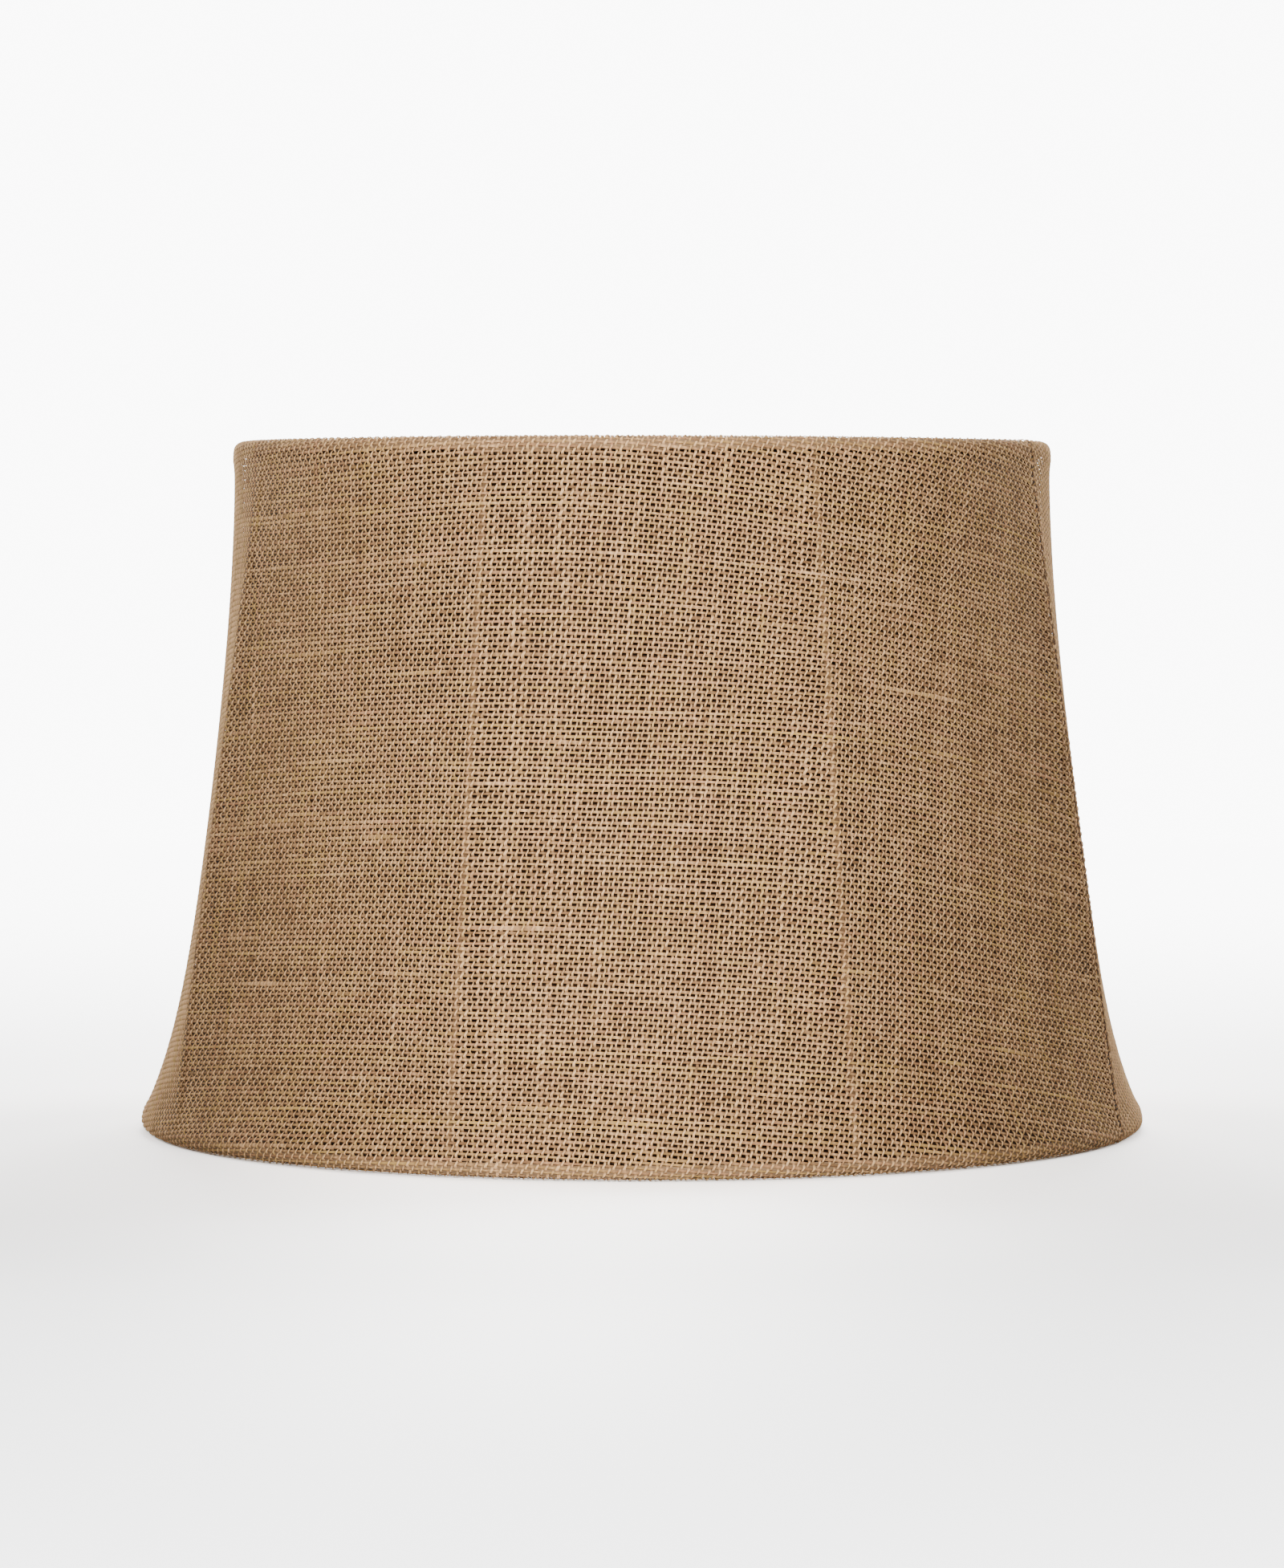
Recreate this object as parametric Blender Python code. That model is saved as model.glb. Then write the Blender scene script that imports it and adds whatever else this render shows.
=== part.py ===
"""Softback lamp shade: a cloth cover and lining stretched over a welded wire frame with a spider fitter.

Units are metres and +Z is up. The origin is the middle of the plane that the bottom hem rests on.
The middle of the front panel faces -Y, and azimuth is counted from there towards +X.
"""

import math

import bmesh
import bpy
from mathutils import Vector

# Overall sizes, measured over the cloth
TOP_DIAMETER = 0.3302
BOTTOM_DIAMETER = 0.4064
SLANT = 0.2794

# Wire frame
RIB_COUNT = 8
RING_WIRE = 0.0030
RIB_WIRE = 0.0026

# Spider fitter: arms welded inside the top ring, and a washer that a harp's stud passes through
ARM_COUNT = 3
ARM_WIRE = 0.0030
ARM_BEND = 0.0045
SPIDER_DROP = 0.0127
WASHER_DIAMETER = 0.0254
WASHER_HOLE = 0.0104
WASHER_THICKNESS = 0.0024

# Cloth
COVER_THICKNESS = 0.0010
LINING_THICKNESS = 0.0005
TAPE_THICKNESS = 0.0004
HEM_DEPTH = 0.0090

# How the stretched cloth pulls in between the ribs: 1 would be a straight chord from rib to rib, and
# the two reaches say how quickly the round rims turn into flat panels
FLATNESS = 0.84
TOP_CREASE_REACH = 0.070
BOTTOM_CREASE_REACH = 0.038
RIM_REACH = 0.0056

# Clearances
CLEARANCE = 0.0003
NOTCH_CLEARANCE = 0.0004
CUTTER_MARGIN = 0.0020

# Facets
STEPS_PER_PANEL = 6
WALL_ROWS = 8
RIM_STEPS = 5
TAPE_STEPS = 5
WIRE_SIDES = 8
RIB_ROWS = 4
BEND_STEPS = 3
SMOOTH_ANGLE = math.radians(40)

# Derived sizes
HEIGHT = math.sqrt(SLANT**2 - ((BOTTOM_DIAMETER - TOP_DIAMETER) / 2) ** 2)
PANEL = math.tau / RIB_COUNT
RIGHT_SEAM = 1.5 * PANEL
LEFT_SEAM = RIGHT_SEAM - math.pi
TAPE_INNER = max(RING_WIRE, RIB_WIRE) / 2 + CLEARANCE
TAPE_OUTER = TAPE_INNER + TAPE_THICKNESS
LAYER_GAP = TAPE_OUTER + CLEARANCE
RING_STACK = LAYER_GAP + COVER_THICKNESS
RIB_STACK = RIB_WIRE / 2 + CLEARANCE + COVER_THICKNESS
HEM_WIDTH = RING_STACK + LAYER_GAP + LINING_THICKNESS + CLEARANCE + COVER_THICKNESS
RIM_OUTER = HEM_WIDTH / 2
RIM_INNER = RIM_OUTER - COVER_THICKNESS
RIM_SAGITTA = RIM_OUTER * math.cos(math.pi / RIM_STEPS / 2)
BOTTOM_RING = Vector((BOTTOM_DIAMETER / 2 - RING_STACK, RIM_SAGITTA))
TOP_RING = Vector((TOP_DIAMETER / 2 - RING_STACK, HEIGHT - RIM_SAGITTA))


def polar(radius: float, azimuth: float, z: float) -> Vector:
    """Returns the point at a radius and azimuth, where azimuth 0 is the front."""
    return Vector((radius * math.sin(azimuth), -radius * math.cos(azimuth), z))


def ring_line(z: float) -> float:
    """Returns the radius of the straight line between the two rings' wires."""
    share = (z - BOTTOM_RING.y) / (TOP_RING.y - BOTTOM_RING.y)
    return BOTTOM_RING.x + (TOP_RING.x - BOTTOM_RING.x) * share


def panel_factor(azimuth: float, z: float) -> float:
    """Returns the share of its radius that the cloth keeps, 1 on a rib and less between two ribs."""
    from_middle = (azimuth + PANEL / 2) % PANEL - PANEL / 2
    chord = math.cos(PANEL / 2) / math.cos(from_middle)
    below_top = max(TOP_RING.y - RIM_OUTER - z, 0)
    above_bottom = max(z - BOTTOM_RING.y - RIM_OUTER, 0)
    top_share = 1 - math.exp(-below_top / TOP_CREASE_REACH)
    bottom_share = 1 - math.exp(-above_bottom / BOTTOM_CREASE_REACH)
    return 1 - FLATNESS * top_share * bottom_share * (1 - chord)


def cover_radius(azimuth: float, z: float) -> float:
    """Returns the radius of the cover's outer face, which steps in from the rings onto the ribs."""
    from_rim = min(TOP_RING.y - z, z - BOTTOM_RING.y)
    on_ring = math.exp(-((from_rim / RIM_REACH) ** 2))
    stack = RIB_STACK + (RING_STACK - RIB_STACK) * on_ring
    return (ring_line(z) + stack) * panel_factor(azimuth, z)


def lining_radius(azimuth: float, z: float) -> float:
    """Returns the radius of the lining's outer face."""
    return (ring_line(z) - LAYER_GAP) * panel_factor(azimuth, z)


def wall_heights() -> list[float]:
    """Returns the heights of the cloth's rows from ring to ring, the hems' own rows among them."""
    low, high = BOTTOM_RING.y + HEM_DEPTH, TOP_RING.y - HEM_DEPTH
    turns = (math.pi * row / WALL_ROWS for row in range(WALL_ROWS + 1))
    between = [low + (high - low) * (1 - math.cos(turn)) / 2 for turn in turns]
    bottom = [BOTTOM_RING.y, BOTTOM_RING.y + HEM_DEPTH / 2]
    return [*bottom, *between, TOP_RING.y - HEM_DEPTH / 2, TOP_RING.y]


def arc(centre: Vector, radius: float, start: float, end: float, steps: int) -> list[Vector]:
    """Returns the points of an arc from one angle to another."""
    angles = (start + (end - start) * step / steps for step in range(steps + 1))
    return [centre + radius * Vector((math.cos(angle), math.sin(angle))) for angle in angles]


def hem_points(azimuth: float, ring: Vector, inward: float) -> tuple[list[Vector], list[Vector]]:
    """Returns the lining side and the room side of a hem, from its free edge to its rim's arc."""
    lining_side, room_side = [], []
    for depth in (HEM_DEPTH, HEM_DEPTH / 2):
        z = ring.y + inward * depth
        radius = lining_radius(azimuth, z) - LINING_THICKNESS - CLEARANCE
        lining_side.append(Vector((radius, z)))
        room_side.append(Vector((radius - COVER_THICKNESS, z)))
    return lining_side, room_side


def cover_section(azimuth: float) -> list[Vector]:
    """Returns the closed outline of the cover at an azimuth: its wall, and a rolled hem at each end."""
    top = Vector((TOP_DIAMETER / 2 - RIM_OUTER, TOP_RING.y))
    bottom = Vector((BOTTOM_DIAMETER / 2 - RIM_OUTER, BOTTOM_RING.y))
    top_hem, top_hem_room = hem_points(azimuth, TOP_RING, -1)
    bottom_hem, bottom_hem_room = hem_points(azimuth, BOTTOM_RING, 1)
    rows = wall_heights()[1:-1]
    outside = [Vector((cover_radius(azimuth, z), z)) for z in rows]
    inside = [Vector((point.x - COVER_THICKNESS, point.y)) for point in reversed(outside)]
    return [
        *outside,
        *arc(top, RIM_OUTER, 0, math.pi, RIM_STEPS),
        *reversed(top_hem_room),
        *top_hem,
        *arc(top, RIM_INNER, math.pi, 0, RIM_STEPS),
        *inside,
        *arc(bottom, RIM_INNER, math.tau, math.pi, RIM_STEPS),
        *reversed(bottom_hem),
        *bottom_hem_room,
        *arc(bottom, RIM_OUTER, math.pi, math.tau, RIM_STEPS),
    ]


def lining_section(azimuth: float) -> list[Vector]:
    """Returns the closed outline of the lining at an azimuth."""
    outside = [Vector((lining_radius(azimuth, z), z)) for z in wall_heights()]
    inside = [Vector((point.x - LINING_THICKNESS, point.y)) for point in reversed(outside)]
    return outside + inside


def tape_section(ring: Vector, slit: float) -> list[Vector]:
    """Returns the outline of the tape folded round a ring, open towards the ribs at the slit's angle."""
    half_slit = math.asin((RIB_WIRE / 2 + CLEARANCE) / TAPE_INNER)
    start, end = slit + half_slit, slit + math.tau - half_slit
    outer = arc(ring, TAPE_OUTER, start, end, TAPE_STEPS)
    return outer + arc(ring, TAPE_INNER, end, start, TAPE_STEPS)


def wire_section(ring: Vector) -> list[Vector]:
    """Returns the outline of a ring's wire."""
    flat = math.pi / WIRE_SIDES
    return arc(ring, RING_WIRE / 2, flat, flat + math.tau, WIRE_SIDES)[:-1]


def washer_section() -> list[Vector]:
    """Returns the outline of the spider's washer, level with the arms."""
    inner, outer = WASHER_HOLE / 2, WASHER_DIAMETER / 2
    middle = TOP_RING.y - SPIDER_DROP
    low, high = middle - WASHER_THICKNESS / 2, middle + WASHER_THICKNESS / 2
    return [Vector((outer, low)), Vector((outer, high)), Vector((inner, high)), Vector((inner, low))]


def half_azimuths(start: float, end: float) -> list[float]:
    """Returns the azimuths of a half cover's sections, short of its seams by half a clearance."""
    steps = round((end - start) / PANEL * STEPS_PER_PANEL)
    seam = CLEARANCE / 2 / TOP_RING.x
    inner = [start + (end - start) * step / steps for step in range(1, steps)]
    return [start + seam, *inner, end - seam]


def full_azimuths() -> list[float]:
    """Returns the azimuths of a whole turn's sections."""
    steps = RIB_COUNT * STEPS_PER_PANEL
    return [math.tau * step / steps for step in range(steps)]


def finish(shape: bpy.types.Object, colour: tuple[float, float, float], roughness: float, metallic: float) -> None:
    """Gives an object its own material."""
    material = bpy.data.materials.new(shape.name)
    material.use_nodes = True
    shader = material.node_tree.nodes["Principled BSDF"]
    shader.inputs["Base Color"].default_value = (*colour, 1)
    shader.inputs["Roughness"].default_value = roughness
    shader.inputs["Metallic"].default_value = metallic
    shape.data.materials.append(material)


def loft(name: str, sections: list[list[Vector]], closed: bool) -> bpy.types.Object:
    """Returns a solid skinned over a row of sections, which close into a loop or end in caps.

    Every facet's diagonal rises the same way, so that parallel layers of cloth keep their gap.
    """
    shape = bmesh.new()
    loops = [[shape.verts.new(point) for point in section] for section in sections]
    pairs = list(zip(loops, loops[1:]))
    if closed:
        pairs.append((loops[-1], loops[0]))
    else:
        shape.faces.new(loops[0])
        shape.faces.new(loops[-1])
    for one, other in pairs:
        for index in range(len(one)):
            after = (index + 1) % len(one)
            low, high = sorted((index, after), key=lambda place: one[place].co.z)
            shape.faces.new((one[low], one[high], other[high]))
            shape.faces.new((one[low], other[high], other[low]))
    bmesh.ops.recalc_face_normals(shape, faces=shape.faces)
    mesh = bpy.data.meshes.new(name)
    shape.to_mesh(mesh)
    shape.free()
    mesh.shade_smooth()
    mesh.set_sharp_from_angle(angle=SMOOTH_ANGLE)
    solid = bpy.data.objects.new(name, mesh)
    bpy.context.scene.collection.objects.link(solid)
    return solid


def swept_round(name: str, azimuths: list[float], section_at, closed: bool) -> bpy.types.Object:
    """Returns a solid swept round the vertical axis, from a section that may change with azimuth."""
    sections = [[polar(p.x, azimuth, p.y) for p in section_at(azimuth)] for azimuth in azimuths]
    return loft(name, sections, closed)


def wire(name: str, route: list[Vector], diameter: float) -> bpy.types.Object:
    """Returns a round wire along a route that lies in one upright plane."""
    sideways = (route[-1] - route[0]).cross(Vector((0, 0, 1))).normalized()
    sections = []
    for index, point in enumerate(route):
        before, after = route[max(index - 1, 0)], route[min(index + 1, len(route) - 1)]
        along = (after - before).normalized()
        upright = along.cross(sideways)
        angles = (math.tau * (side + 0.5) / WIRE_SIDES for side in range(WIRE_SIDES))
        rim = [(math.cos(angle) * sideways + math.sin(angle) * upright) for angle in angles]
        sections.append([point + diameter / 2 * direction for direction in rim])
    return loft(name, sections, closed=False)


def rib_route(azimuth: float) -> list[Vector]:
    """Returns a rib's line, from just above the bottom ring to just below the top ring."""
    slope = (TOP_RING - BOTTOM_RING).normalized()
    start = BOTTOM_RING + slope * (RING_WIRE / 2 + CLEARANCE)
    end = TOP_RING - slope * (RING_WIRE / 2 + CLEARANCE)
    stations = (start.lerp(end, row / RIB_ROWS) for row in range(RIB_ROWS + 1))
    return [polar(station.x, azimuth, station.y) for station in stations]


def arm_route(azimuth: float) -> list[Vector]:
    """Returns an arm's line: in from the top ring past the hem, down by the drop, and in to the washer."""
    start = TOP_RING.x - RING_WIRE / 2 - CLEARANCE
    turn = TOP_DIAMETER / 2 - HEM_WIDTH - ARM_BEND - CLEARANCE
    low = TOP_RING.y - SPIDER_DROP
    end = WASHER_DIAMETER / 2 + CLEARANCE
    upper = Vector((turn + ARM_BEND, TOP_RING.y - ARM_BEND))
    lower = Vector((turn - ARM_BEND, low + ARM_BEND))
    quarter = math.pi / 2
    line = [
        Vector((start, TOP_RING.y)),
        *arc(upper, ARM_BEND, quarter, 2 * quarter, BEND_STEPS),
        *arc(lower, ARM_BEND, 0, -quarter, BEND_STEPS),
        Vector((end, low)),
    ]
    return [polar(point.x, azimuth, point.y) for point in line]


def notch_cutter(name: str, azimuth: float, low: float, high: float) -> bpy.types.Object:
    """Returns a box round an arm, which notches the cloth between the ring's wire and the room."""
    near, far = TOP_DIAMETER / 2 - HEM_WIDTH - CUTTER_MARGIN, TOP_RING.x - RING_WIRE / 4
    half_width = ARM_WIRE / 2 + NOTCH_CLEARANCE
    sideways = polar(half_width, azimuth + math.pi / 2, 0)
    sections = []
    for radius in (near, far):
        bottom, top = polar(radius, azimuth, low), polar(radius, azimuth, high)
        sections.append([bottom - sideways, bottom + sideways, top + sideways, top - sideways])
    cutter = loft(name, sections, closed=False)
    cutter.display_type = "WIRE"
    cutter.hide_render = True
    return cutter


def cut(solid: bpy.types.Object, cutters: list[bpy.types.Object]) -> None:
    """Takes the cutters out of a solid."""
    for cutter in cutters:
        modifier = solid.modifiers.new(cutter.name, "BOOLEAN")
        modifier.operation = "DIFFERENCE"
        modifier.object = cutter


def build_frame() -> list[bpy.types.Object]:
    """Returns the welded frame: two rings and the ribs between them."""
    pieces = [
        swept_round("top_ring", full_azimuths(), lambda azimuth: wire_section(TOP_RING), closed=True),
        swept_round("bottom_ring", full_azimuths(), lambda azimuth: wire_section(BOTTOM_RING), closed=True),
    ]
    for number in range(RIB_COUNT):
        azimuth = (number + 0.5) * PANEL
        pieces.append(wire(f"rib_{number + 1}", rib_route(azimuth), RIB_WIRE))
    for piece in pieces:
        finish(piece, (0.32, 0.27, 0.20), roughness=0.42, metallic=0.9)
    return pieces


def build_spider() -> list[bpy.types.Object]:
    """Returns the spider fitter: its arms and its washer."""
    pieces = []
    for number in range(ARM_COUNT):
        azimuth = math.tau * number / ARM_COUNT
        pieces.append(wire(f"spider_arm_{number + 1}", arm_route(azimuth), ARM_WIRE))
    pieces.append(swept_round("spider_washer", full_azimuths(), lambda azimuth: washer_section(), closed=True))
    for piece in pieces:
        finish(piece, (0.62, 0.47, 0.24), roughness=0.35, metallic=1.0)
    return pieces


def build_tapes() -> list[bpy.types.Object]:
    """Returns the cotton tape bound round each ring, open where the ribs join it."""
    slope = TOP_RING - BOTTOM_RING
    up = math.atan2(slope.y, slope.x)
    pieces = []
    for name, ring, slit in (("top", TOP_RING, up + math.pi), ("bottom", BOTTOM_RING, up)):
        outline = tape_section(ring, slit)
        tape = swept_round(f"{name}_ring_binding", full_azimuths(), lambda azimuth: outline, closed=True)
        finish(tape, (0.78, 0.72, 0.60), roughness=0.9, metallic=0.0)
        pieces.append(tape)
    return pieces


def build_cloths() -> list[bpy.types.Object]:
    """Returns the halves of the lining and of the cover, which meet at two opposite ribs."""
    spans = {"front": (LEFT_SEAM, RIGHT_SEAM), "back": (RIGHT_SEAM, LEFT_SEAM + math.tau)}
    pieces = []
    for side, (start, end) in spans.items():
        azimuths = half_azimuths(start, end)
        lining = swept_round(f"lining_{side}_half", azimuths, lining_section, closed=False)
        cover = swept_round(f"cover_{side}_half", azimuths, cover_section, closed=False)
        finish(lining, (0.66, 0.55, 0.40), roughness=0.9, metallic=0.0)
        finish(cover, (0.46, 0.30, 0.16), roughness=0.95, metallic=0.0)
        pieces += [lining, cover]
    return pieces


def notch_for_arms(tapes: list[bpy.types.Object], cloths: list[bpy.types.Object]) -> list[bpy.types.Object]:
    """Notches the tape, the lining and the cover's hem round each arm, and returns the cutters."""
    over = TOP_RING.y + ARM_WIRE / 2 + NOTCH_CLEARANCE
    under = TOP_RING.y - ARM_WIRE / 2 - NOTCH_CLEARANCE
    hem_edge = TOP_RING.y - HEM_DEPTH - CUTTER_MARGIN
    hem_cutters, lining_cutters = [], []
    for number in range(ARM_COUNT):
        azimuth = math.tau * number / ARM_COUNT
        hem_cutters.append(notch_cutter(f"hem_notch_{number + 1}", azimuth, hem_edge, over))
        lining_cutters.append(notch_cutter(f"lining_notch_{number + 1}", azimuth, under, over))
    cut(tapes[0], hem_cutters)
    for cloth in cloths:
        cut(cloth, lining_cutters if cloth.name.startswith("lining") else hem_cutters)
    return hem_cutters + lining_cutters


def main() -> None:
    """Builds the lamp shade under one empty."""
    for old in list(bpy.data.objects):
        bpy.data.objects.remove(old, do_unlink=True)
    root = bpy.data.objects.new("lamp_shade", None)
    bpy.context.scene.collection.objects.link(root)
    tapes = build_tapes()
    cloths = build_cloths()
    cutters = notch_for_arms(tapes, cloths)
    for piece in build_frame() + build_spider() + tapes + cloths + cutters:
        piece.parent = root


main()
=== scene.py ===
"""Burlap softback lamp shade: woven cover, lining, bound wire frame and brass spider.

Everything is in metres with +Z up. The origin is the middle of the plane that the bottom hem rests on.
Azimuth is counted from the front, which faces -Y, towards +X. Each half of the cover is woven flat, on the
straight grain of a cone laid out on a table, and is then wrapped round the frame yarn by yarn.
"""

import logging
import math
from dataclasses import dataclass, field
from enum import Enum

import bpy
import numpy as np
from mathutils import Matrix, Vector


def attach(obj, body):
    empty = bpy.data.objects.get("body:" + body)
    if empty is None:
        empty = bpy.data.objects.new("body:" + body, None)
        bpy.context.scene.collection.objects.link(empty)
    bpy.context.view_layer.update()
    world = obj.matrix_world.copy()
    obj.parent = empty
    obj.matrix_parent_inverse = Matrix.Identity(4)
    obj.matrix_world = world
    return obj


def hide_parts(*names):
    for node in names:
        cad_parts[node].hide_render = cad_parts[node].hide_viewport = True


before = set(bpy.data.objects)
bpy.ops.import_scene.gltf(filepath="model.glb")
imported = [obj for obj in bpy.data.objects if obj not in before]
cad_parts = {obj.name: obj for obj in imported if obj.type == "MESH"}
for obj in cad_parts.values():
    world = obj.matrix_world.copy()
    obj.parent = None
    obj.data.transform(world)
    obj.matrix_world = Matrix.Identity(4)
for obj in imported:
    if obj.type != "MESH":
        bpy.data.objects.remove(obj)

LOG = logging.getLogger("lamp_shade")

Rgb = tuple[float, float, float]
Array = np.ndarray
Feed = bpy.types.NodeSocket | float | tuple[float, ...]


# ---- Sizes and the shape of the stretched cloth ----


@dataclass(frozen=True)
class ShadeSizes:
    """The sizes that the shade is cut, bent and welded to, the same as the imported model's."""

    top_diameter: float = 0.3302
    bottom_diameter: float = 0.4064
    slant: float = 0.2794
    rib_count: int = 8
    ring_wire: float = 0.0030
    rib_wire: float = 0.0026
    arm_count: int = 3
    arm_wire: float = 0.0030
    arm_bend: float = 0.0045
    spider_drop: float = 0.0127
    washer_diameter: float = 0.0254
    washer_hole: float = 0.0104
    washer_thickness: float = 0.0024
    cover_thickness: float = 0.0010
    lining_thickness: float = 0.0005
    tape_thickness: float = 0.0004
    hem_depth: float = 0.0090
    flatness: float = 0.84
    top_crease_reach: float = 0.070
    bottom_crease_reach: float = 0.038
    rim_reach: float = 0.0056
    clearance: float = 0.0003
    notch_clearance: float = 0.0004
    rim_facets: int = 5

    @property
    def height(self) -> float:
        """Height of the shade over its hems."""
        return math.sqrt(self.slant**2 - ((self.bottom_diameter - self.top_diameter) / 2) ** 2)

    @property
    def panel(self) -> float:
        """Angle from one rib to the next."""
        return math.tau / self.rib_count

    @property
    def tape_inner(self) -> float:
        """Radius of the tape's inner face about its ring's wire."""
        return max(self.ring_wire, self.rib_wire) / 2 + self.clearance

    @property
    def tape_outer(self) -> float:
        """Radius of the tape's outer face about its ring's wire."""
        return self.tape_inner + self.tape_thickness

    @property
    def layer_gap(self) -> float:
        """Distance from a ring's wire to the cloth beside it."""
        return self.tape_outer + self.clearance

    @property
    def ring_stack(self) -> float:
        """Distance from a ring's wire to the cover's outer face."""
        return self.layer_gap + self.cover_thickness

    @property
    def rib_stack(self) -> float:
        """Distance from a rib's wire to the cover's outer face."""
        return self.rib_wire / 2 + self.clearance + self.cover_thickness

    @property
    def rim_outer(self) -> float:
        """Radius of the rolled rim's outer face."""
        inward = self.layer_gap + self.lining_thickness + self.clearance + self.cover_thickness
        return (self.ring_stack + inward) / 2

    @property
    def rim_middle(self) -> float:
        """Radius of the middle of the cloth in the rolled rim."""
        return self.rim_outer - self.cover_thickness / 2

    @property
    def rim_level(self) -> float:
        """Height of a ring's wire inside the end of the shade that it is nearer to."""
        return self.rim_outer * math.cos(math.pi / self.rim_facets / 2)

    @property
    def bottom_ring(self) -> Vector:
        """Radius and height of the bottom ring's wire."""
        return Vector((self.bottom_diameter / 2 - self.ring_stack, self.rim_level))

    @property
    def top_ring(self) -> Vector:
        """Radius and height of the top ring's wire."""
        return Vector((self.top_diameter / 2 - self.ring_stack, self.height - self.rim_level))

    @property
    def wall(self) -> float:
        """Distance up the slope from the level of one ring to the level of the other."""
        return (self.top_ring - self.bottom_ring).length

    @property
    def cone_sine(self) -> float:
        """Sine of the cone's half angle."""
        return (self.bottom_diameter - self.top_diameter) / 2 / self.slant

    def arm_azimuths(self) -> list[float]:
        """Returns the azimuth of each spider arm."""
        return [math.tau * number / self.arm_count for number in range(self.arm_count)]

    def ring_line(self, z: Array) -> Array:
        """Returns the radius at each height of the straight line between the two rings."""
        low, high = self.bottom_ring, self.top_ring
        return low.x + (high.x - low.x) * (z - low.y) / (high.y - low.y)

    def panel_factor(self, azimuth: Array, z: Array) -> Array:
        """Returns the share of its radius that the cloth keeps, which is less between two ribs.

        Args:
            azimuth: Azimuths of the points.
            z: Heights of the points.

        Returns:
            1 on a rib and at both rims, and less in the middle of a panel.
        """
        from_middle = (azimuth + self.panel / 2) % self.panel - self.panel / 2
        chord = math.cos(self.panel / 2) / np.cos(from_middle)
        below_top = np.maximum(self.top_ring.y - self.rim_outer - z, 0)
        above_bottom = np.maximum(z - self.bottom_ring.y - self.rim_outer, 0)
        top_share = 1 - np.exp(-below_top / self.top_crease_reach)
        bottom_share = 1 - np.exp(-above_bottom / self.bottom_crease_reach)
        return 1 - self.flatness * top_share * bottom_share * (1 - chord)

    def cover_radius(self, azimuth: Array, z: Array) -> Array:
        """Returns how far out the cover's outer face is.

        Args:
            azimuth: Azimuths of the points.
            z: Heights of the points.

        Returns:
            The radius at each point.
        """
        from_rim = np.minimum(self.top_ring.y - z, z - self.bottom_ring.y)
        on_ring = np.exp(-((from_rim / self.rim_reach) ** 2))
        stack = self.rib_stack + (self.ring_stack - self.rib_stack) * on_ring
        return (self.ring_line(z) + stack) * self.panel_factor(azimuth, z)

    def lining_radius(self, azimuth: Array, z: Array) -> Array:
        """Returns the radius of the lining's outer face at each azimuth and height."""
        return (self.ring_line(z) - self.layer_gap) * self.panel_factor(azimuth, z)


SIZES = ShadeSizes()


def polar(radius: Array, azimuth: Array, z: Array) -> Array:
    """Returns points at the given radii, azimuths and heights, as rows of x, y and z."""
    return np.stack([radius * np.sin(azimuth), -radius * np.cos(azimuth), z], axis=-1)


def drift(rng: np.random.Generator, shape: tuple[int, int], reach: tuple[float, float]) -> Array:
    """Returns a smooth random field of about unit size.

    Args:
        rng: Source of the random numbers.
        shape: Rows and columns of the field.
        reach: How many rows and columns the field takes to change. A reach of 0 leaves neighbours unlike.

    Returns:
        The field, as an array of the given shape.
    """
    knots = [max(2, math.ceil(size / max(step, 1)) + 2) for size, step in zip(shape, reach)]
    coarse = rng.normal(size=knots)
    for axis, (size, step) in enumerate(zip(shape, reach)):
        if step < 1:
            coarse = np.take(coarse, np.arange(size), axis=axis)
            continue
        place = np.arange(size) / step
        low = place.astype(int)
        share = place - low
        share = share * share * (3 - 2 * share)
        share = share.reshape((-1, 1) if axis == 0 else (1, -1))
        coarse = np.take(coarse, low, axis=axis) * (1 - share) + np.take(coarse, low + 1, axis=axis) * share
    return coarse


# ---- Finishes ----


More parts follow.
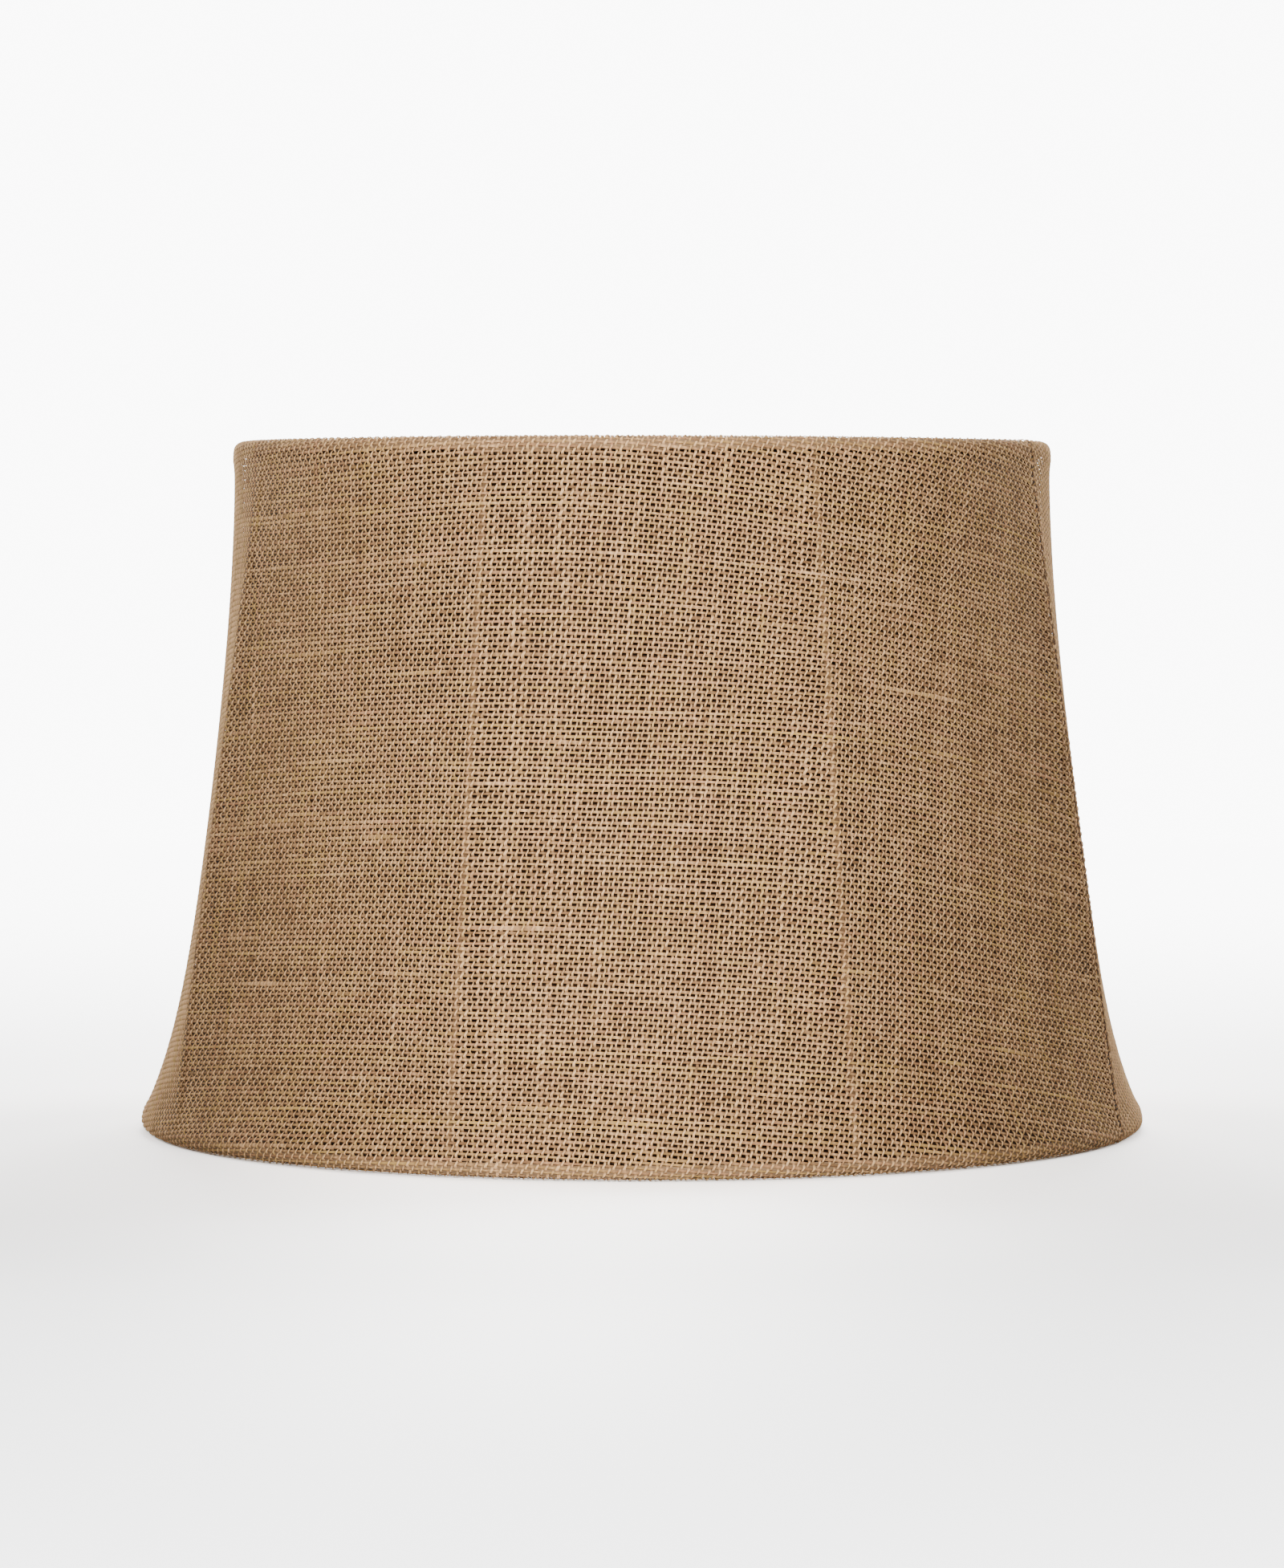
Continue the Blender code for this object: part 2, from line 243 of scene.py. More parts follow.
class Bench:
    """A material's node tree, with short calls that add nodes and join them."""

    def __init__(self, name: str) -> None:
        """Makes an empty material with a shader and an output."""
        self.material = bpy.data.materials.new(name)
        self.material.use_nodes = True
        self.nodes = self.material.node_tree.nodes
        self.shader = self.nodes["Principled BSDF"]

    def add(self, kind: str, inputs: dict | None = None, **settings: object) -> bpy.types.Node:
        """Adds a node.

        Args:
            kind: The node's type.
            inputs: Values or output sockets for the node's inputs, by name or number.
            **settings: Values for the node's own properties.

        Returns:
            The new node.
        """
        node = self.nodes.new(kind)
        for name, value in settings.items():
            setattr(node, name, value)
        for name, value in (inputs or {}).items():
            self.feed(node.inputs[name], value)
        return node

    def feed(self, socket: bpy.types.NodeSocket, value: Feed) -> None:
        """Joins an output to a socket, or sets the socket's value.

        Args:
            socket: The socket that is fed.
            value: An output, a number, or a tuple. A colour may leave out its alpha.
        """
        if isinstance(value, bpy.types.NodeSocket):
            self.material.node_tree.links.new(value, socket)
        elif socket.type == "RGBA" and len(value) == 3:
            socket.default_value = (*value, 1)
        else:
            socket.default_value = value

    def mix(self, factor: Feed, one: Feed, other: Feed) -> bpy.types.NodeSocket:
        """Returns the colour between two colours."""
        node = self.add("ShaderNodeMix", {0: factor, 6: one, 7: other}, data_type="RGBA")
        return node.outputs[2]

    def maths(self, operation: str, one: Feed, other: Feed = 0.0) -> bpy.types.NodeSocket:
        """Returns the result of a sum on one or two values."""
        return self.add("ShaderNodeMath", {0: one, 1: other}, operation=operation).outputs[0]

    def spread(
        self, value: Feed, low: float, high: float, to_low: float = 0.0, to_high: float = 1.0
    ) -> bpy.types.NodeSocket:
        """Returns a value moved from one range to another, and kept inside it."""
        inputs = {0: value, 1: low, 2: high, 3: to_low, 4: to_high}
        return self.add("ShaderNodeMapRange", inputs).outputs[0]

    def noise(
        self, vector: Feed, scale: float, detail: float = 2.0, roughness: float = 0.5
    ) -> bpy.types.NodeSocket:
        """Returns noise over a vector."""
        inputs = {"Vector": vector, "Scale": scale, "Detail": detail, "Roughness": roughness}
        return self.add("ShaderNodeTexNoise", inputs).outputs[0]

    def uv(self, name: str) -> bpy.types.NodeSocket:
        """Returns the piece's own UV map of that name."""
        return self.add("ShaderNodeUVMap", uv_map=name).outputs[0]

    def place(self) -> bpy.types.NodeSocket:
        """Returns the object's coordinates."""
        return self.add("ShaderNodeTexCoord").outputs["Object"]

    def stretch(
        self, vector: Feed, scale: tuple[float, float, float], turn: float = 0.0
    ) -> bpy.types.NodeSocket:
        """Returns a vector scaled along each axis, and turned about the third."""
        inputs = {"Vector": vector, "Scale": scale, "Rotation": (0, 0, turn)}
        return self.add("ShaderNodeMapping", inputs).outputs[0]

    def bump(self, height: Feed, strength: float, depth: float) -> None:
        """Gives the shader a bump from a height."""
        inputs = {"Height": height, "Strength": strength, "Distance": depth}
        self.feed(self.shader.inputs["Normal"], self.add("ShaderNodeBump", inputs).outputs[0])

    def set(self, **values: Feed) -> None:
        """Feeds the shader's own sockets, whose names are written with underscores."""
        for name, value in values.items():
            self.feed(self.shader.inputs[name.replace("_", " ")], value)


@dataclass(frozen=True)
class JuteFinish:
    """Spun jute yarn: blond to brown fibres in a loose twist, each yarn a little unlike the next."""

    pale: Rgb = (0.98, 0.610, 0.300)
    plain: Rgb = (0.54, 0.305, 0.138)
    tan: Rgb = (0.20, 0.104, 0.044)
    straw: Rgb = (0.68, 0.42, 0.120)
    rose: Rgb = (0.66, 0.32, 0.165)
    husk: Rgb = (0.085, 0.045, 0.020)
    fibre_slant: float = math.radians(-32)
    fibre_stretch: tuple[float, float, float] = (1.1, 5.0, 1.0)
    fibre_depth: float = 0.22
    blotch_scale: float = 34.0
    blotch_depth: float = 0.03
    straw_share: float = 0.75
    rose_share: float = 0.60

    def make(self) -> bpy.types.Material:
        """Builds the material, which reads the yarns' tones from their attribute.

        Returns:
            The material.
        """
        bench = Bench("jute_yarn")
        tones = bench.add("ShaderNodeAttribute", attribute_name="yarn").outputs["Color"]
        parts = bench.add("ShaderNodeSeparateColor", {0: tones}).outputs
        tone, hue, speck = parts[0], parts[1], parts[2]
        strand = bench.uv("strand")
        twisted = bench.stretch(strand, self.fibre_stretch, self.fibre_slant)
        fibres = bench.noise(twisted, 2.6, 3.0, 0.6)
        blotches = bench.noise(bench.place(), self.blotch_scale)
        patches = bench.spread(blotches, 0.3, 0.7, -self.blotch_depth, self.blotch_depth)
        streaks = bench.spread(fibres, 0.25, 0.75, -self.fibre_depth, self.fibre_depth)
        # The tone read from the attribute holds painted light on the yarns' floats and painted shade in
        # their dips.
        depth = bench.maths("ADD", bench.maths("ADD", tone, patches), streaks)
        colour = bench.mix(bench.spread(depth, 0.0, 0.5), self.tan, self.plain)
        colour = bench.mix(bench.spread(depth, 0.5, 1.0), colour, self.pale)
        colour = bench.mix(bench.spread(hue, 0.55, 1.0, 0.0, self.straw_share), colour, self.straw)
        colour = bench.mix(bench.spread(hue, 0.45, 0.0, 0.0, self.rose_share), colour, self.rose)
        colour = bench.mix(speck, colour, self.husk)
        bench.set(Base_Color=colour, Roughness=0.82, Specular_IOR_Level=0.25)
        bench.set(Sheen_Weight=0.12, Sheen_Roughness=0.5, Sheen_Tint=(0.95, 0.80, 0.62))
        bench.bump(fibres, 0.55, 0.00018)
        return bench.material


@dataclass(frozen=True)
class ClothFinish:
    """A fine plain-woven cloth, read from a UV map in metres."""

    name: str
    light: Rgb
    dark: Rgb
    pitch: float
    contrast: float = 0.5
    wander_scale: float = 90.0
    wander: tuple[float, float] = (5.0, 4.0)
    slub_stretch: tuple[float, float, float] = (60.0, 1400.0, 1.0)

    def make(self) -> bpy.types.Material:
        """Builds the material.

        Returns:
            The material.
        """
        bench = Bench(self.name)
        cloth = bench.uv("cloth")
        drifting = bench.noise(cloth, self.wander_scale)
        waves = []
        for part, wander in zip(bench.add("ShaderNodeSeparateXYZ", {0: cloth}).outputs, self.wander):
            phase = bench.maths("MULTIPLY", part, math.tau / self.pitch)
            phase = bench.maths("ADD", phase, bench.maths("MULTIPLY", drifting, wander))
            waves.append(bench.maths("SINE", phase))
        weave = bench.spread(bench.maths("MULTIPLY", *waves), -1.0, 1.0)
        slubs = bench.noise(bench.stretch(cloth, self.slub_stretch), 1.0)
        shade = bench.maths("MULTIPLY", weave, self.contrast)
        shade = bench.maths("ADD", shade, bench.spread(slubs, 0.3, 0.7, 0.0, 1 - self.contrast))
        bench.set(Base_Color=bench.mix(shade, self.dark, self.light), Roughness=0.88)
        bench.set(Specular_IOR_Level=0.25, Sheen_Weight=0.15, Sheen_Roughness=0.5)
        bench.bump(weave, 0.35, 0.00010)
        return bench.material


@dataclass(frozen=True)
class EnamelFinish:
    """Stove enamel on steel wire, with a slight orange peel and a few rubbed spots."""

    coat: Rgb = (0.17, 0.10, 0.05)
    rubbed: Rgb = (0.12, 0.07, 0.035)

    def make(self) -> bpy.types.Material:
        """Builds the material.

        Returns:
            The material.
        """
        bench = Bench("wire_enamel")
        wear = bench.noise(bench.place(), 140.0, 4.0, 0.6)
        colour = bench.mix(bench.spread(wear, 0.58, 0.72), self.coat, self.rubbed)
        bench.set(Base_Color=colour, Roughness=bench.spread(wear, 0.3, 0.8, 0.80, 0.95))
        bench.set(Specular_IOR_Level=0.12)
        bench.bump(bench.noise(bench.place(), 1400.0, 1.0), 0.15, 0.00008)
        return bench.material


@dataclass(frozen=True)
class BrassFinish:
    """Plated brass, drawn along its wire and a little tarnished in patches."""

    bright: Rgb = (0.80, 0.58, 0.28)
    tarnish: Rgb = (0.46, 0.31, 0.15)
    scratch_stretch: tuple[float, float, float] = (300.0, 300.0, 2600.0)

    def make(self) -> bpy.types.Material:
        """Builds the material.

        Returns:
            The material.
        """
        bench = Bench("plated_brass")
        place = bench.place()
        cloud = bench.noise(place, 70.0, 4.0, 0.6)
        colour = bench.mix(bench.spread(cloud, 0.45, 0.75), self.bright, self.tarnish)
        scratches = bench.noise(bench.stretch(place, self.scratch_stretch), 1.0)
        bench.set(Base_Color=colour, Metallic=1.0)
        bench.set(Roughness=bench.spread(bench.maths("ADD", cloud, scratches), 0.6, 1.4, 0.24, 0.46))
        bench.bump(scratches, 0.10, 0.00005)
        return bench.material


@dataclass(frozen=True)
class StudioFloorFinish:
    """Pale paper, lit brightly for the lens alone, that runs into the light surroundings with no edge."""

    surround: float
    backdrop: float
    paper: float = 0.40
    lift: float = 9.0
    near: float = 0.45
    far: float = 2.2

    def make(self) -> bpy.types.Material:
        """Builds the material.

        Returns:
            The material.
        """
        bench = Bench("studio_paper")
        bench.nodes.remove(bench.shader)
        seen = bench.add("ShaderNodeLightPath").outputs["Is Camera Ray"]
        radius = bench.add("ShaderNodeVectorMath", {0: bench.place()}, operation="LENGTH").outputs["Value"]
        outer = bench.spread(radius, self.near, self.far)
        bright = bench.spread(seen, 0.0, 1.0, self.paper, self.paper * self.lift)
        grain = bench.add("ShaderNodeCombineColor", {0: bright, 1: bright, 2: bright}).outputs[0]
        paper = bench.add("ShaderNodeBsdfDiffuse", {"Color": grain})
        glow = bench.spread(seen, 0.0, 1.0, self.surround, self.backdrop)
        light = bench.add("ShaderNodeEmission", {"Color": (1, 1, 1, 1), "Strength": glow})
        joined = bench.add("ShaderNodeMixShader", {0: outer, 1: paper.outputs[0], 2: light.outputs[0]})
        bench.feed(bench.nodes["Material Output"].inputs["Surface"], joined.outputs[0])
        return bench.material


# ---- Mesh helpers ----


def new_piece(name: str, points: Array, faces: Array, material: bpy.types.Material) -> bpy.types.Object:
    """Returns an object with a smooth mesh, made from arrays.

    Args:
        name: Name of the piece.
        points: Rows of x, y and z.
        faces: Rows of three or four point numbers.
        material: The piece's finish.

    Returns:
        The new object, at the origin.
    """
    mesh = bpy.data.meshes.new(name)
    corners = faces.shape[1]
    mesh.vertices.add(len(points))
    mesh.vertices.foreach_set("co", np.ascontiguousarray(points, dtype=np.float32).ravel())
    mesh.loops.add(faces.size)
    mesh.loops.foreach_set("vertex_index", np.ascontiguousarray(faces, dtype=np.int32).ravel())
    mesh.polygons.add(len(faces))
    mesh.polygons.foreach_set("loop_start", np.arange(0, faces.size, corners, dtype=np.int32))
    mesh.update(calc_edges=True)
    mesh.shade_smooth()
    mesh.materials.append(material)
    piece = bpy.data.objects.new(name, mesh)
    bpy.context.scene.collection.objects.link(piece)
    return piece


def add_uv(piece: bpy.types.Object, name: str, values: Array) -> None:
    """Gives a piece a UV map, with one row of two numbers for each corner of each face."""
    layer = piece.data.uv_layers.new(name=name, do_init=False)
    layer.data.foreach_set("uv", np.ascontiguousarray(values, dtype=np.float32).ravel())


def grid_faces(rows: int, columns: int, closed: bool = False) -> Array:
    """Returns the faces of a grid of points, row by row.

    Args:
        rows: How many rows of points there are.
        columns: How many points a row has.
        closed: Whether the last column joins the first.

    Returns:
        Rows of four point numbers.
    """
    across = np.arange(columns if closed else columns - 1)
    row, column = np.meshgrid(np.arange(rows - 1), across, indexing="ij")
    after = (column + 1) % columns
    corners = [row * columns + column, row * columns + after, (row + 1) * columns + after]
    corners.append((row + 1) * columns + column)
    return np.stack(corners, axis=-1).reshape(-1, 4)


def triangles(piece: bpy.types.Object) -> int:
    """Returns how many triangles a piece's mesh makes."""
    return sum(len(face.vertices) - 2 for face in piece.data.polygons)


# ---- The woven cover ----


class Yarn(Enum):
    """The two directions of the weave."""

    WARP = "warp"
    WEFT = "weft"


@dataclass(frozen=True)
class YarnGauge:
    """How a yarn is spun, and how it lies in the weave: sizes in metres, rings in shares of the pitch."""

    width: float
    thickness: float
    crimp: float
    lean: float
    twist: float
    tone: float
    # Painted shade and light: how much paler a yarn is coloured where it rides over a crossing, and darker
    # where it dives under.
    painted_relief_shade: float
    slub_rate: float
    slub_swell: float
    rings: tuple[float, ...]


GAUGES = {
    Yarn.WARP: YarnGauge(
        width=0.00086, thickness=0.00044, crimp=0.00040, lean=0.00026, twist=0.00015,
        tone=0.56, painted_relief_shade=0.42, slub_rate=0.0005, slub_swell=0.5, rings=(-0.25, 0.25),
    ),
    # The weft's tone sits well below the warp's. Part of this is its own darker colour, and part is painted
    # shade for the shade that the raised warp floats cast on it.
    Yarn.WEFT: YarnGauge(
        width=0.00090, thickness=0.00036, crimp=0.00014, lean=0.0, twist=0.00024,
        tone=0.24, painted_relief_shade=0.28, slub_rate=0.0010, slub_swell=0.7, rings=(0.0,),
    ),
}
SECTION = ((0.0, 0.55), (0.5, -0.25), (-0.5, -0.25))
SECTORS = ("left", "middle", "right")


@dataclass(frozen=True)
class YarnVariety:
    """How unlike one another the yarns are: whole yarns, long stretches, short stretches and crossings."""

    own_width: float = 0.08
    stretch_width: float = 0.11
    own_tone: float = 0.070
    long_tone: float = 0.075
    short_tone: float = 0.13
    crossing_tone: float = 0.08
    slub_tone: float = 0.10
    middle_hue: float = 0.50
    own_hue: float = 0.08
    stretch_hue: float = 0.15
    slub_hue: float = 0.12
    slub_span: tuple[int, int] = (6, 26)
    speck_rate: float = 0.00045
    speck_span: tuple[int, int] = (1, 3)
    speck_depth: float = 0.8


VARIETY = YarnVariety()


@dataclass
class YarnSet:
    """The places, widths and tones of all the yarns of one direction, with one row for each yarn."""

    kind: Yarn
    across: Array
    along: Array
    level: Array
    width: Array
    tones: Array
    kept: Array


@dataclass
class BurlapHalf:
    """One half of the cover: plain-woven jute on the straight grain, wrapped round both rings."""

    side: str
    middle: float
    seed: int
    material: bpy.types.Material
    pitch: float = 0.0020
    seam_dip: float = 0.00085
    seam_reach: float = 0.0010
    ridge_height: float = 0.00045
    ridge_place: float = 0.0028
    ridge_reach: float = 0.0018
    far_ridge: float = 0.25
    bow: float = 0.0017
    sway: float = 0.0010
    looseness: float = 0.00009
    notch_start: float = math.pi - 0.75
    sharp_edge: float = math.radians(105)
    girth: float = 2.2
    row_shift: float = 7.31
    pieces: list[bpy.types.Object] = field(default_factory=list)

    def __post_init__(self) -> None:
        """Works out the half's shape when it is laid flat, and the drift of its grain."""
        self.rng = np.random.default_rng(self.seed)
        self.apex = (SIZES.bottom_diameter - SIZES.cover_thickness) / 2 / SIZES.cone_sine
        self.spread = math.pi / 2 * SIZES.cone_sine
        self.turn_in = math.pi * SIZES.rim_middle + SIZES.hem_depth
        outer = self.apex + self.turn_in
        inner = self.apex - SIZES.wall - self.turn_in
        columns = math.ceil(outer * math.sin(self.spread) / self.pitch) + 1
        low = math.floor((self.apex - outer) / self.pitch) - 1
        high = math.ceil((self.apex - inner * math.cos(self.spread)) / self.pitch) + 1
        self.columns = np.arange(-columns, columns + 1)
        self.rows = np.arange(low, high + 1)
        shape = (len(self.columns), len(self.rows))
        bow = drift(self.rng, shape, (60, 45)) * self.bow
        sway = drift(self.rng, shape, (55, 60)) * self.sway
        loose_x = drift(self.rng, shape, (0, 9)) * self.looseness
        loose_y = drift(self.rng, shape, (9, 0)) * self.looseness
        self.flat_x = self.columns[:, None] * self.pitch + sway + loose_x
        self.flat_y = self.rows[None, :] * self.pitch + bow + loose_y

    def flatten(self, x: Array, y: Array) -> tuple[Array, Array]:
        """Turns places on the flat cloth into angles and climbs.

        Args:
            x: Distances across from the half's middle.
            y: Distances up from the bottom ring.

        Returns:
            The angle from the half's middle, and the distance up the cloth from the bottom ring's level.
        """
        down = self.apex - y
        return np.arctan2(x, down), self.apex - np.hypot(x, down)

    def wrap(self, angle: Array, climb: Array, height: Array) -> Array:
        """Returns the place of points on the dressed shade.

        Args:
            angle: Angle on the flat cone from the half's middle.
            climb: Distance up the cloth from the bottom ring's level.
            height: Distance out from the middle of the cloth.

        Returns:
            Rows of x, y and z.
        """
        azimuth = self.middle + angle / SIZES.cone_sine
        low, high = SIZES.bottom_ring, SIZES.top_ring
        share = np.clip(climb / SIZES.wall, 0, 1)
        z = low.y + (high.y - low.y) * share
        radius = SIZES.cover_radius(azimuth, z) - SIZES.cover_thickness / 2
        radius = radius + height * (high.y - low.y) / SIZES.wall
        z = z + height * (low.x - high.x) / SIZES.wall
        for ring, diameter, past, up in (
            (low, SIZES.bottom_diameter, -climb, -1),
            (high, SIZES.top_diameter, climb - SIZES.wall, 1),
        ):
            turn = np.clip(past / SIZES.rim_middle, 0, math.pi)
            reach = SIZES.rim_middle + height
            arc_radius = diameter / 2 - SIZES.rim_outer + reach * np.cos(turn)
            arc_z = ring.y + up * reach * np.sin(turn)
            leg = past - math.pi * SIZES.rim_middle
            leg_z = ring.y - up * leg
            inside = SIZES.lining_radius(azimuth, leg_z) - SIZES.lining_thickness - SIZES.clearance
            leg_radius = inside - SIZES.cover_thickness / 2 - height
            radius = np.where(past > 0, np.where(leg > 0, leg_radius, arc_radius), radius)
            z = np.where(past > 0, np.where(leg > 0, leg_z, arc_z), z)
        return polar(radius, azimuth, z)

    def seam_height(self, angle: Array, climb: Array) -> Array:
        """Returns how far the cloth dips into a seam at its side edges, and rises over the turned edge.

        Args:
            angle: Angle on the flat cone from the half's middle.
            climb: Distance up the cloth from the bottom ring's level.

        Returns:
            The height of the cloth's middle over its usual place.
        """
        distance = (self.spread - np.abs(angle)) * (self.apex - climb)
        dip = -self.seam_dip * np.exp(-((distance / self.seam_reach) ** 2))
        ridge = self.ridge_height * np.exp(-(((distance - self.ridge_place) / self.ridge_reach) ** 2))
        return dip + np.where(angle < 0, ridge, self.far_ridge * ridge)

    def notched(self, angle: Array, climb: Array) -> Array:
        """Returns which points are cut away where a spider arm passes through the hem.

        Args:
            angle: Angle on the flat cone from the half's middle.
            climb: Distance up the cloth from the bottom ring's level.

        Returns:
            True for each point that is cut away.
        """
        azimuth = self.middle + angle / SIZES.cone_sine
        inside = climb > SIZES.wall + SIZES.rim_middle * self.notch_start
        half_width = (SIZES.arm_wire / 2 + SIZES.notch_clearance) / SIZES.top_ring.x
        gone = np.zeros(azimuth.shape, dtype=bool)
        for arm in SIZES.arm_azimuths():
            off = (azimuth - arm + math.pi) % math.tau - math.pi
            gone |= inside & (np.abs(off) < half_width)
        return gone

    def yarns(self, kind: Yarn) -> YarnSet:
        """Returns the yarns of one direction, each with its own width, slubs and tones.

        Args:
            kind: Which direction.

        Returns:
            The yarns over the whole half.
        """
        angle, climb = self.flatten(self.flat_x, self.flat_y)
        edge = self.spread + 0.5 * self.pitch / (self.apex - climb)
        kept = (climb > -self.turn_in) & (climb < SIZES.wall + self.turn_in) & (np.abs(angle) < edge)
        kept &= ~self.notched(angle, climb)
        over = np.where((self.columns[:, None] + self.rows[None, :]) % 2 == 0, 1.0, -1.0)
        gauge = GAUGES[kind]
        x, y, level = self.flat_x, self.flat_y, over
        if kind is Yarn.WEFT:
            x, y, level, kept = x.T, y.T, -level.T, kept.T
        count, length = x.shape
        own = self.rng.normal(size=(count, 1))
        stretches = drift(self.rng, (count, length), (0, 5))
        width = np.exp(VARIETY.own_width * own + VARIETY.stretch_width * stretches)
        slubs = self.bumps(count, length, gauge.slub_rate, VARIETY.slub_span)
        width = width * (1 + gauge.slub_swell * slubs)
        # The tone is raised where the yarn rides over and lowered where it dives: painted light on the
        # floats and painted shade in the dips.
        tone = gauge.tone + gauge.painted_relief_shade * level + VARIETY.own_tone * self.rng.normal(size=(count, 1))
        tone = tone + VARIETY.long_tone * drift(self.rng, (count, length), (0, 16))
        tone = tone + VARIETY.short_tone * drift(self.rng, (count, length), (0, 2))
        tone = tone + VARIETY.slub_tone * slubs
        tone = tone + VARIETY.crossing_tone * self.rng.normal(size=(count, length))
        hue = VARIETY.middle_hue + VARIETY.own_hue * self.rng.normal(size=(count, 1))
        hue = hue + VARIETY.stretch_hue * drift(self.rng, (count, length), (0, 8))
        hue = hue + VARIETY.slub_hue * slubs
        specks = self.bumps(count, length, VARIETY.speck_rate, VARIETY.speck_span) * VARIETY.speck_depth
        tones = np.stack([tone, hue, specks], axis=-1)
        return YarnSet(kind, x, y, level, gauge.width * width, np.clip(tones, 0, 1), kept)

    def bumps(self, count: int, length: int, rate: float, span: tuple[int, int]) -> Array:
        """Returns a field that is 0 but for smooth swells along some of the yarns.

        Args:
            count: How many yarns there are.
            length: How many crossings each yarn has.
            rate: How many swells there are for each crossing.
            span: Fewest and most crossings that a swell is long.

        Returns:
            An array with one row for each yarn.
        """
        swell = np.zeros((count, length))
        places = np.arange(length)
        for _ in range(int(count * length * rate)):
            yarn = self.rng.integers(count)
            centre = self.rng.integers(length)
            reach = self.rng.uniform(*span) / 2
            size = self.rng.uniform(0.4, 1.0)
            near = size * np.exp(-(((places - centre) / reach) ** 2))
            swell[yarn] = np.maximum(swell[yarn], near)
        return swell

    def weave(self, kind: Yarn) -> None:
        """Builds the yarns of one direction, in a piece for each upright sector of the half.

        Args:
            kind: Which direction.
        """
        yarns = self.yarns(kind)
        upright = yarns.kept.T if kind is Yarn.WEFT else yarns.kept
        running = np.cumsum(upright.sum(axis=1))
        shares = running[-1] * np.arange(len(SECTORS) + 1) / len(SECTORS)
        cuts = [int(cut) for cut in np.searchsorted(running, shares)]
        cuts[-1] = len(running) - 1
        for sector, first, last in zip(SECTORS, cuts, cuts[1:]):
            part = (slice(first, last), slice(None))
            if kind is Yarn.WEFT:
                part = (slice(None), slice(first, last + 1))
            self.pieces.append(self.strands(f"cover_{self.side}_{kind.value}_{sector}", yarns, part))

    def strands(self, name: str, yarns: YarnSet, part: tuple[slice, slice]) -> bpy.types.Object:
        """Builds some of the yarns as three-sided strands, with one or two rings of points at a crossing.

        Args:
            name: Name of the piece.
            yarns: All the yarns of that direction.
            part: Which yarns to build, and which of their crossings.

        Returns:
            The piece, with its maps and tones.
        """
        gauge = GAUGES[yarns.kind]
        rings = len(gauge.rings)
        x, y, over, width, kept = (
            np.repeat(values[part], rings, axis=1)
            for values in (yarns.across, yarns.along, yarns.level, yarns.width, yarns.kept)
        )
        tones = np.repeat(yarns.tones[part], rings, axis=1)
        station = np.broadcast_to(np.tile(np.array(gauge.rings), kept.shape[1] // rings), kept.shape)
        joined = kept[:, :-1] & kept[:, 1:]
        used = np.zeros_like(kept)
        used[:, :-1] |= joined
        used[:, 1:] |= joined
        number = np.cumsum(used.ravel()).reshape(used.shape) - 1
        x, y, over, width, station = (values[used][:, None] for values in (x, y, over, width, station))
        across = np.array([corner[0] for corner in SECTION])[None, :]
        upward = np.array([corner[1] for corner in SECTION])[None, :]
        thick = gauge.thickness * np.sqrt(width / gauge.width)
        sideways = width * across + gauge.lean * over * np.sign(station)
        onward = self.pitch * station + 2 * gauge.twist * across
        x, y = (x + sideways, y + onward) if yarns.kind is Yarn.WARP else (x + onward, y - sideways)
        angle, climb = self.flatten(x, y)
        angle = np.clip(angle, -self.spread, self.spread)
        height = gauge.crimp * over + thick * upward + self.seam_height(angle, climb)
        points = self.wrap(angle, climb, height).reshape(-1, 3)
        first, last = number[:, :-1][joined], number[:, 1:][joined]
        sides = len(SECTION)
        side = np.arange(sides)
        turned = (side + 1) % sides
        first, last = first[:, None] * sides, last[:, None] * sides
        faces = np.stack([first + side, first + turned, last + turned, last + side], axis=-1).reshape(-1, 4)
        piece = new_piece(name, points, faces, self.material)
        piece.data.set_sharp_from_angle(angle=self.sharp_edge)
        self.map_strands(piece, joined, (x, y), faces, gauge)
        colours = np.ones((len(x), sides, 4), dtype=np.float32)
        colours[:, :, :3] = tones[used][:, None, :]
        layer = piece.data.attributes.new("yarn", "FLOAT_COLOR", "POINT")
        layer.data.foreach_set("color", colours.ravel())
        return piece

    def map_strands(
        self, piece: bpy.types.Object, joined: Array, flat: tuple[Array, Array], faces: Array,
        gauge: YarnGauge,
    ) -> None:
        """Gives a piece a map that runs along and round each yarn, and one of the flat cloth for baking.

        Args:
            piece: The strands.
            joined: Which neighbouring rings of points are joined, with one row for each yarn.
            flat: Where the points lie on the flat cloth, across and up.
            faces: The piece's faces.
            gauge: How the yarns are spun.
        """
        row, place = np.nonzero(joined)
        sides = len(SECTION)
        step = self.pitch / len(gauge.rings) / (self.girth * gauge.width)
        start = (place * step + row * self.row_shift)[:, None]
        side = np.arange(sides)[None, :] / sides
        end = start + step
        corners = [(start, side), (start, side + 1 / sides), (end, side + 1 / sides), (end, side)]
        strand = [np.stack(np.broadcast_arrays(u, v), axis=-1) for u, v in corners]
        add_uv(piece, "strand", np.stack(strand, axis=2).reshape(-1, 2))
        x, y = flat[0].ravel(), flat[1].ravel()
        size = max(np.ptp(x), np.ptp(y))
        spots = np.stack([(x - x.min()) / size, (y - y.min()) / size], axis=-1)
        add_uv(piece, "OFBake", spots[faces.ravel()])

    def build(self) -> None:
        """Weaves both directions, attaches each piece to the root, and hides the half's node in the
        imported model.
        """
        for kind in Yarn:
            self.weave(kind)
        node = f"cover_{self.side}_half"
        for piece in self.pieces:
            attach(piece, "root")
            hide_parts(node)
            self.declare()
            LOG.info("%s: %d triangles", piece.name, triangles(piece))

    def declare(self) -> None:
        """Works out how big the sector of the flat cloth is that a piece covers; the sizes are not kept or
        used.
        """
        outer, inner = self.apex + self.turn_in, self.apex - SIZES.wall - self.turn_in
        width = 2 * outer * math.sin(self.spread) / len(SECTORS)
        length = outer - inner * math.cos(self.spread)


